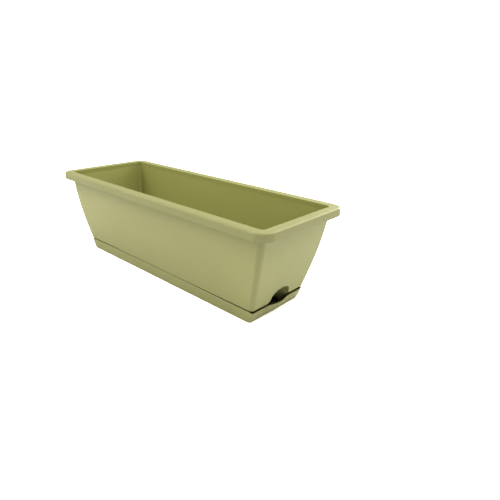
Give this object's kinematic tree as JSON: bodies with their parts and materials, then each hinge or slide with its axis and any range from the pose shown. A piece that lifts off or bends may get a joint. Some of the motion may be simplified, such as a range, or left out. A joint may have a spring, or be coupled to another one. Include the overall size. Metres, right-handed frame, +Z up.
{
  "type": "balcony planter",
  "caption": "Long rectangular flower trough with a turned-down rim and bowed, tapering walls, standing in a flush drip tray with an arched water-filling recess in each end.",
  "frame": {"origin": "centre of the drip tray's flat underside, on the surface that the planter stands on", "axes": "+X along the planter's length, +Y across its width, +Z up"},
  "size_m": [0.5, 0.19, 0.15],
  "materials": {
    "green_polypropylene": "satin moulded plastic"
  },
  "bodies": {
    "tray": {"drip_tray": "green_polypropylene"},
    "trough": {"planter_body": "green_polypropylene"}
  },
  "joints": [
    {"name": "trough_lift_off", "type": "slide", "parent": "tray", "child": "trough", "axis": [0, 0, 1], "range_m": [0, 0.1]}
  ]
}
